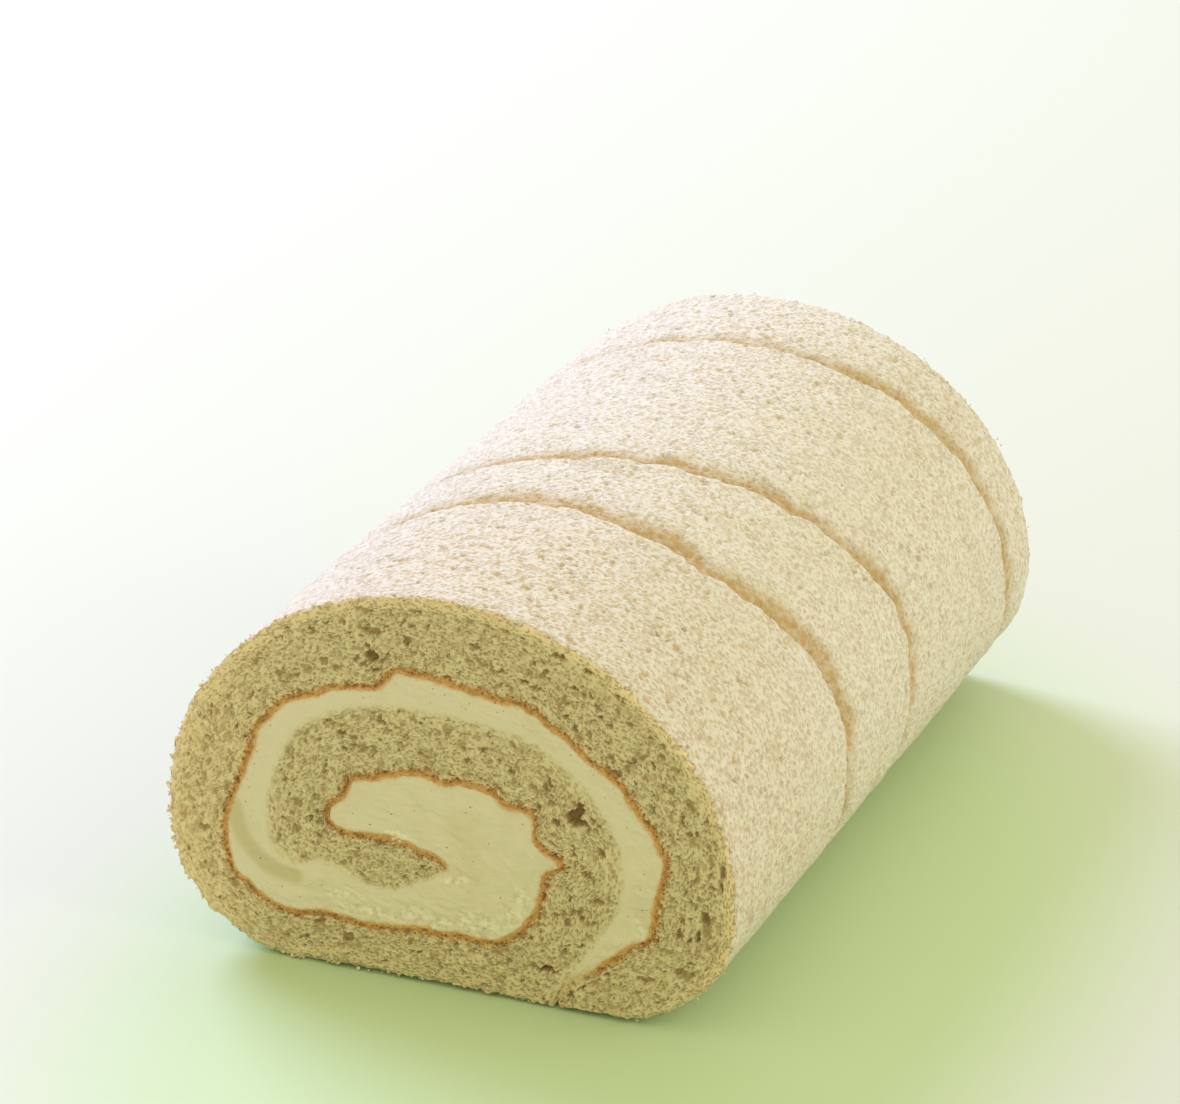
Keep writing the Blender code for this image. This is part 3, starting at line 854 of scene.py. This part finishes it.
def foamGroup():  # cut-open cells with thin light walls
    group = bpy.data.node_groups.new("foam", "ShaderNodeTree")
    group.interface.new_socket(name="Place", in_out="INPUT", socket_type="NodeSocketVector")
    for name in ("Length", "Height", "Open"):
        group.interface.new_socket(name=name, in_out="INPUT", socket_type="NodeSocketFloat")
    for name in ("Pore", "Wall", "Relief"):
        group.interface.new_socket(name=name, in_out="OUTPUT", socket_type="NodeSocketFloat")
    inputs = group.nodes.new("NodeGroupInput").outputs
    outputs = group.nodes.new("NodeGroupOutput").inputs
    size = group.nodes.new("ShaderNodeCombineXYZ")
    for n, key in enumerate(("Length", "Height", "Height")):
        group.links.new(inputs[key], size.inputs[n])
    place = addNode(group, "ShaderNodeVectorMath", operation="DIVIDE")
    group.links.new(inputs["Place"], place.inputs[0])
    group.links.new(size.outputs[0], place.inputs[1])
    bent = addNode(group, "ShaderNodeVectorMath", operation="MULTIPLY_ADD")
    group.links.new(noise(group, place.outputs[0], 0.9, 3.0, 0.7)["Color"], bent.inputs[0])
    bent.inputs[1].default_value = (0.8, 0.8, 0.8)
    group.links.new(place.outputs[0], bent.inputs[2])
    cells = addNode(group, "ShaderNodeTexVoronoi", Scale=1.0, Randomness=1.0)
    group.links.new(bent.outputs[0], cells.inputs["Vector"])
    chance = axesOf(group, cells.outputs["Color"])[0]
    shut = whatIsLeft(group, inputs["Open"])
    opened = between(group, chance, shut, calc(group, "ADD", shut, 0.35))
    hollow = between(group, cells.outputs["Distance"], 0.18, 0.68, 1.0, 0.0)
    pore = times(group, hollow, opened)
    group.links.new(pore, outputs["Pore"])
    group.links.new(whatIsLeft(group, hollow), outputs["Wall"])
    group.links.new(times(group, pore, -1.0), outputs["Relief"])
    return group


foam = foamGroup()


def placeFoam(tree, place, length, height, opened):
    node = tree.nodes.new("ShaderNodeGroup")
    node.node_tree = foam
    for key, value in (("Place", place), ("Length", length), ("Height", height), ("Open", opened)):
        setOrLink(tree, node.inputs[key], value)
    return node.outputs


colours = {
    "crumb": (0.630, 0.490, 0.250, 1),
    "crumbLight": (0.800, 0.688, 0.405, 1),
    # painted shade for the crumb's pores and hollows
    "crumbDark": (0.340, 0.205, 0.060, 1),
    "brown": (0.600, 0.310, 0.090, 1),
    "brownLight": (0.700, 0.420, 0.165, 1),
    "brownShade": (0.380, 0.170, 0.045, 1),
    # painted glow: golden light seen through the thin rim of the outer turn, and at its left end
    "glowGold": (0.920, 0.715, 0.400, 1),
    "cream": (0.770, 0.680, 0.465, 1),
    "creamLight": (0.900, 0.820, 0.590, 1),
    "creamDeep": (0.610, 0.510, 0.265, 1),
    "skin": (0.725, 0.650, 0.500, 1),
    "skinLight": (0.795, 0.755, 0.665, 1),
    # the skin's pits: partly their own tan, partly painted shade
    "skinPit": (0.600, 0.390, 0.160, 1),
    # the folds' colour: partly their own tan, partly painted shade
    "skinFold": (0.550, 0.390, 0.175, 1),
    "speck": (0.150, 0.085, 0.035, 1),
}

crumbLook = {
    # foam cells: length, height, the share that is open, and then how much painted shade darkens them
    "smallCells": (0.60, 0.38, 0.75),
    "smallDark": 0.52,
    "wideCells": (1.7, 1.0, 0.4),
    "wideDark": 0.2,
    # mm from its own face over which each layer runs out
    "browned": (1.2, 2.1),
    "smeared": (0.1, 2.1),
    "rimGlow": (0.0, 4.6),
    "rimGlowFrom": (2, 14),  # mm above the table, as the painted glow at the rim is left out where the roll lies on its base
    "leftGlowFrom": (-25, -46),  # the x, in mm, over which painted glow lightens the outer turn to the left, as if light shone through it
    "bump": 0.14,
}


def crumbColour(tree):  # colour and relief of a cut face of the sheet, read from the sheet's own places
    place = attribute(tree, "sheetPlace", "Vector")
    spot = axesOf(tree, objectPlace(tree))
    small = placeFoam(tree, place, *crumbLook["smallCells"])
    wide = placeFoam(tree, place, *crumbLook["wideCells"])
    depth = attribute(tree, "pore")
    outer = attribute(tree, "outerTurn")
    wobble = calc(tree, "MULTIPLY_ADD", noise(tree, place, 1.1, 4.0, 0.8)["Fac"], 4.0, -2.0)
    toasted = calc(tree, "MULTIPLY_ADD", wobble, 0.7, axesOf(tree, place)[1])
    lacy = calc(tree, "MULTIPLY_ADD", small["Wall"], 0.5, toasted)
    browned = times(tree, between(tree, lacy, *crumbLook["browned"], 1.0, 0.0), attribute(tree, "brown"))
    pale = calc(tree, "MULTIPLY_ADD", wobble, 0.5, attribute(tree, "fromPale"))
    smear = between(tree, pale, *crumbLook["smeared"], 1.0, 0.0)
    smear = times(tree, smear, whatIsLeft(tree, outer))
    # painted glow: the rim lit golden as if light shone through its thin edge, none near the table
    rim = times(tree, between(tree, pale, *crumbLook["rimGlow"], 1.0, 0.0), outer)
    rim = times(tree, rim, between(tree, spot[2], *(z * mm for z in crumbLook["rimGlowFrom"])))
    smallPores = times(tree, small["Pore"], crumbLook["smallDark"])
    pores = larger(tree, smallPores, times(tree, wide["Pore"], crumbLook["wideDark"]))
    pores = times(tree, pores, whatIsLeft(tree, smear))
    # painted shade in the mesh's hollows, deeper ones darker
    sunk = between(tree, depth, 0.12, 0.75, 0.0, 0.58)
    sunk = calc(tree, "ADD", sunk, between(tree, depth, 0.8, 2.0, 0.0, 0.3))
    tint = between(tree, noise(tree, place, 0.3, 3.0)["Fac"], 0.3, 0.7, 0.0, 0.6)
    base = mixColours(tree, tint, colours["crumb"], colours["crumbLight"])
    grain = between(tree, noise(tree, place, 3.6, 2.0, 0.8)["Fac"], 0.35, 0.65, 0.25, 1.0)
    base = mixColours(tree, times(tree, small["Wall"], grain), base, colours["crumbLight"])
    base = mixColours(tree, times(tree, rim, 0.75), base, colours["glowGold"])
    # painted shade in the pores and hollows
    base = mixColours(tree, larger(tree, pores, sunk), base, colours["crumbDark"])
    # painted glow: the outer turn lightened to the left, as if light shone through the crumb
    leftGlow = between(tree, spot[0], *(x * mm for x in crumbLook["leftGlowFrom"]), 0.0, 0.42)
    base = mixColours(tree, times(tree, leftGlow, outer), base, colours["glowGold"])
    toast = mixColours(tree, between(tree, toasted, 0.1, 0.9), colours["brownLight"], colours["brown"])
    # painted shade in the pores of the browned band, more where it is browner
    poreShadeInBrown = times(tree, between(tree, toasted, 0.3, 1.1, 0.25, 1.0), small["Pore"])
    toast = mixColours(tree, poreShadeInBrown, toast, colours["brownShade"])
    base = mixColours(tree, browned, base, toast)
    base = mixColours(tree, smear, base, colours["cream"])
    relief = calc(tree, "MULTIPLY_ADD", wide["Relief"], 1.6, small["Relief"])
    relief = times(tree, relief, whatIsLeft(tree, times(tree, smear, 0.85)))
    return base, relief


crumbMaterial, tree, shader = newMaterial("cutSponge", 0.9, 0.25)
dress(tree, shader, *crumbColour(tree), crumbLook["bump"])

skinLook = {
    # as for the crumb, except that the pits are partly their own tan and partly painted shade
    "fineCells": (0.75, 0.65, 0.8),
    "fineDark": 0.45,
    "coarseCells": (2.0, 1.6, 0.4),
    "coarseDark": 0.45,
    "hollowShade": 0.68,  # how much painted shade darkens the pits in the mesh
    "patches": (0.28, 0.76),  # how clearly the pits show, from patch to patch
    "nearFront": (25.0, 60.0),  # mm from the front cut over which the pits' colour fades
    "nearFrontSide": (-38.0, -8.0),  # and mm round the roll, as it is fainter on the left
    "bump": 0.16,
}
skinMaterial, tree, shader = newMaterial("paleSkin", 0.95, 0.2)
cutColour, cutRelief = crumbColour(tree)
place = attribute(tree, "skinPlace", "Vector")
toRight, toBack = axesOf(tree, place)[:2]
fine = placeFoam(tree, place, *skinLook["fineCells"])
coarse = placeFoam(tree, place, *skinLook["coarseCells"])
# the folds' tan band: partly the fold's own tan, partly painted shade on the slope behind each crease and in
# the dents
folded = between(tree, attribute(tree, "fold"), 0.08, 0.95)
nearFront = between(tree, toBack, *skinLook["nearFront"], 1.0, 0.0)
nearFront = times(tree, nearFront, between(tree, toRight, *skinLook["nearFrontSide"], 0.3, 1.0))
patches = between(tree, noise(tree, place, 0.12, 3.0)["Fac"], 0.4, 0.7, *skinLook["patches"])
# how strongly the pits show: random patches, near the front cut, and painted shade in the folds
pitPatchesAndFoldShade = larger(tree, larger(tree, patches, folded), times(tree, nearFront, 0.85))
tan = times(tree, folded, between(tree, coarse["Wall"], 0.0, 1.0, 1.0, 0.7))
tan = larger(tree, tan, times(tree, nearFront, 0.09))
# the pits: partly their own tan colour, partly painted shade in the mesh's hollows
finePits = times(tree, fine["Pore"], skinLook["fineDark"])
pits = larger(tree, finePits, times(tree, coarse["Pore"], skinLook["coarseDark"]))
hollows = between(tree, attribute(tree, "pore"), 0.05, 0.4, 0.0, skinLook["hollowShade"])
pits = times(tree, larger(tree, pits, hollows), pitPatchesAndFoldShade)
onCut = between(tree, attribute(tree, "cut"), 0.15, 0.95)
base = mixColours(tree, fine["Wall"], colours["skin"], colours["skinLight"])
base = mixColours(tree, tan, base, colours["skinFold"])
base = mixColours(tree, pits, base, colours["skinPit"])
base = mixColours(tree, onCut, base, cutColour)
relief = times(tree, calc(tree, "ADD", fine["Relief"], coarse["Relief"]), whatIsLeft(tree, onCut))
relief = calc(tree, "MULTIPLY_ADD", cutRelief, onCut, relief)
dress(tree, shader, base, relief, skinLook["bump"])

creamLook = {
    "smearScale": (520, 1000, 900),
    "smearTurn": (0, 0.35, 0),
    # how much deeper the colour gets in soft patches, in the streak at the left and, as painted shade
    # between the curds, in the torn places
    "patchDeep": 0.3,
    "stainDeep": 0.85,
    "tornShade": 0.4,
    "curdHighlight": 0.9,  # how light the torn cream's curds are, a painted highlight
    "bump": 0.25,
}
creamMaterial, tree, shader = newMaterial("vanillaCream", 0.5, 0.4)
place = objectPlace(tree)
smears = addNode(tree, "ShaderNodeMapping", Scale=creamLook["smearScale"], Rotation=creamLook["smearTurn"])
tree.links.new(place, smears.inputs["Vector"])
streaks = noise(tree, smears.outputs[0], 1.0, 4.0, 0.55)["Fac"]
softness = noise(tree, place, 160.0, 3.0)["Fac"]
ragged = noise(tree, place, 900.0, 3.0, 0.7)["Fac"]
tornPlaces = attribute(tree, "torn")
deep = times(tree, between(tree, softness, 0.42, 0.75), creamLook["patchDeep"])
deep = larger(tree, deep, times(tree, attribute(tree, "stain"), creamLook["stainDeep"]))
# painted shade in the torn places
deep = larger(tree, deep, times(tree, tornPlaces, creamLook["tornShade"]))
base = mixColours(tree, deep, colours["cream"], colours["creamDeep"])
# painted highlight on the torn cream's curds
curdHighlight = times(tree, between(tree, ragged, 0.38, 0.6), tornPlaces)
base = mixColours(tree, times(tree, curdHighlight, creamLook["curdHighlight"]), base, colours["creamLight"])
wobble = calc(tree, "MULTIPLY_ADD", ragged, 1.2, -0.6)
edge = calc(tree, "ADD", attribute(tree, "fromBrown"), wobble)
base = mixColours(tree, between(tree, edge, 0.0, 0.55, 0.8, 0.0), base, colours["brownLight"])
dress(tree, shader, base, calc(tree, "MULTIPLY_ADD", softness, 0.6, streaks), creamLook["bump"])

speckMaterial, tree, shader = newMaterial("vanillaSeed", 0.6)
shader.inputs["Base Color"].default_value = colours["speck"]

looseMaterial, tree, shader = newMaterial("looseCrumb", 0.9)
mottle = noise(tree, objectPlace(tree), 1500.0, 3.0, 0.7)["Fac"]
colour = mixColours(tree, between(tree, mottle, 0.35, 0.65), colours["crumbLight"], colours["skin"])
dress(tree, shader, colour, mottle, 0.15)

finishes = [
    (creamPiece, creamMaterial, "cream"),
    (seedPiece, speckMaterial, "cream"),
    (crumbsPiece, looseMaterial, "sponge"),
]
finishes += [(piece, crumbMaterial, "sponge") for piece in crumbPieces]
finishes += [(piece, skinMaterial, "sponge") for piece in skinPieces]
for piece, material, node in finishes:
    piece.data.materials.append(material)
    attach(piece, "root")
    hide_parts(node)
print("materials done")

# The camera, the lights and the floor.
studio = {
    "camera": (0.28924, -0.71637, 0.37597),
    "aim": (-0.35059, 0.8507, -0.39166),
    "lens": 150.3,
    "world": (0.815, 0.79, 0.555, 1),
    "floorSize": 6,  # half its width
    # the floor's colour near the roll, greener and darker as partly the paper's own tint and partly painted
    # shadow, and away from it, and where the one turns into the other
    "floorNearGreenAndShadow": (0.590, 0.752, 0.450, 1),
    "floorFar": (0.690, 0.725, 0.610, 1),
    "floorFade": (0.05, 0.10),
    "floorMiddle": (0.02, -0.05, 0),
    "floorShape": (1, 1.8, 1),
}
camera = bpy.data.objects.new("camera", bpy.data.cameras.new("camera"))
camera.location = studio["camera"]
camera.rotation_euler = Vector(studio["aim"]).to_track_quat("-Z", "Y").to_euler()
camera.data.lens = studio["lens"]
camera.data.sensor_width = 36
camera.data.clip_start = 0.01
bpy.context.scene.collection.objects.link(camera)
bpy.context.scene.camera = camera


def softLight(name, place, size, power, colour):  # a round softbox that points at the roll
    lamp = bpy.data.lights.new(name, "AREA")
    lamp.shape = "DISK"
    lamp.size = size
    lamp.energy = power
    lamp.color = colour
    light = bpy.data.objects.new(name, lamp)
    light.location = place
    light.rotation_euler = Vector(place).to_track_quat("Z", "Y").to_euler()
    bpy.context.scene.collection.objects.link(light)


softLight("windowLight", (-1.0, 0.6, 0.8), 0.8, 22.5, (0.55, 0.57, 1.0))
softLight("sideLight", (1.3, 0.1, 0.8), 1.3, 5.8, (1.0, 0.88, 0.86))
world = bpy.data.worlds.new("studio")
world.use_nodes = True
world.node_tree.nodes["Background"].inputs["Color"].default_value = studio["world"]
world.node_tree.nodes["Background"].inputs["Strength"].default_value = 1.0
bpy.context.scene.world = world

ground = bmesh.new()
bmesh.ops.create_grid(ground, x_segments=1, y_segments=1, size=studio["floorSize"])
floorPiece = addPiece("floor", ground)
floorMaterial, tree, shader = newMaterial("palePaper", 0.6)
middle = addNode(tree, "ShaderNodeMapping", vector_type="TEXTURE")
middle.inputs["Location"].default_value = studio["floorMiddle"]
middle.inputs["Scale"].default_value = studio["floorShape"]
tree.links.new(objectPlace(tree), middle.inputs["Vector"])
away = addNode(tree, "ShaderNodeVectorMath", operation="LENGTH")
tree.links.new(middle.outputs[0], away.inputs[0])
# painted shadow around the roll, partly the paper's own green
fade = between(tree, away.outputs["Value"], *studio["floorFade"])
tree.links.new(mixColours(tree, fade, studio["floorNearGreenAndShadow"], studio["floorFar"]), shader.inputs["Base Color"])
floorPiece.data.materials.append(floorMaterial)

bpy.context.scene.view_settings.view_transform = "Standard"
bpy.context.scene.view_settings.look = "None"

print("stage done")
